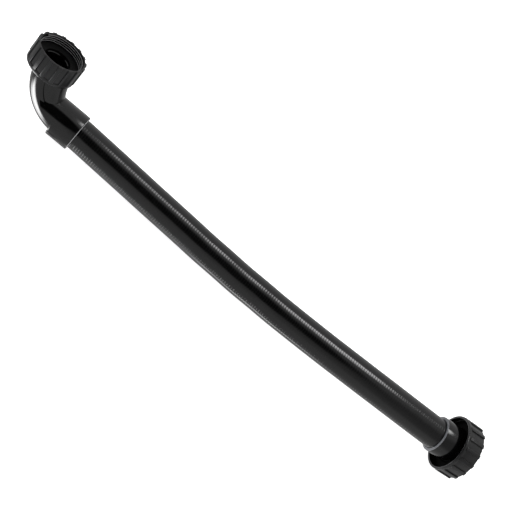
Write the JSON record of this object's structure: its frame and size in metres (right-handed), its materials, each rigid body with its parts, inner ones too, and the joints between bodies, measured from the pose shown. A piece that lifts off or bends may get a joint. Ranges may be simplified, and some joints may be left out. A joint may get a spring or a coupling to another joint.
{
  "type": "flexible drain hose with elbow union",
  "caption": "Ribbed flexible drain hose with a swept elbow and captive coupling nut at one end and a straight collar with a larger captive nut at the other.",
  "frame": {"origin": "Middle of the footprint on the surface that the hose lies on.", "axes": "+X runs along the hose from the elbow to the adapter, +Z is the axis of the elbow's nut, out of its mouth, and +Y completes a right-handed set."},
  "size_m": [0.8692, 0.1036, 0.115],
  "materials": {
    "moulded_black": "semi-gloss black moulded PVC",
    "nut_black": "satin black moulded plastic with a fine grain",
    "hose_black": "satin black flexible PVC with fine spiral ridges",
    "seal_rubber": "dull black rubber"
  },
  "bodies": {
    "hose_assembly": {"elbow_body": "moulded_black", "elbow_tailpiece": "moulded_black", "hose": "hose_black", "adapter_body": "moulded_black"},
    "elbow_washer_body": {"elbow_washer": "seal_rubber"},
    "elbow_nut_body": {"elbow_nut": "nut_black"},
    "adapter_washer_body": {"adapter_washer": "seal_rubber"},
    "adapter_nut_body": {"adapter_nut": "nut_black"}
  },
  "joints": [
    {"name": "elbow_nut_slide", "type": "slide", "parent": "hose_assembly", "child": "elbow_washer_body", "axis": [0, 0, 1], "range_m": [0, 0.0015]},
    {"name": "elbow_nut_spin", "type": "hinge", "parent": "elbow_washer_body", "child": "elbow_nut_body", "pos_m": [-0.39709, 0.01428, 0.1], "axis": [0, 0, 1], "continuous": true},
    {"name": "adapter_nut_slide", "type": "slide", "parent": "hose_assembly", "child": "adapter_washer_body", "axis": [0.9863, 0.165, 0], "range_m": [0, 0.0017]},
    {"name": "adapter_nut_spin", "type": "hinge", "parent": "adapter_washer_body", "child": "adapter_nut_body", "pos_m": [0.41429, -0.00479, 0.0455], "axis": [0.9863, 0.165, 0], "continuous": true}
  ]
}
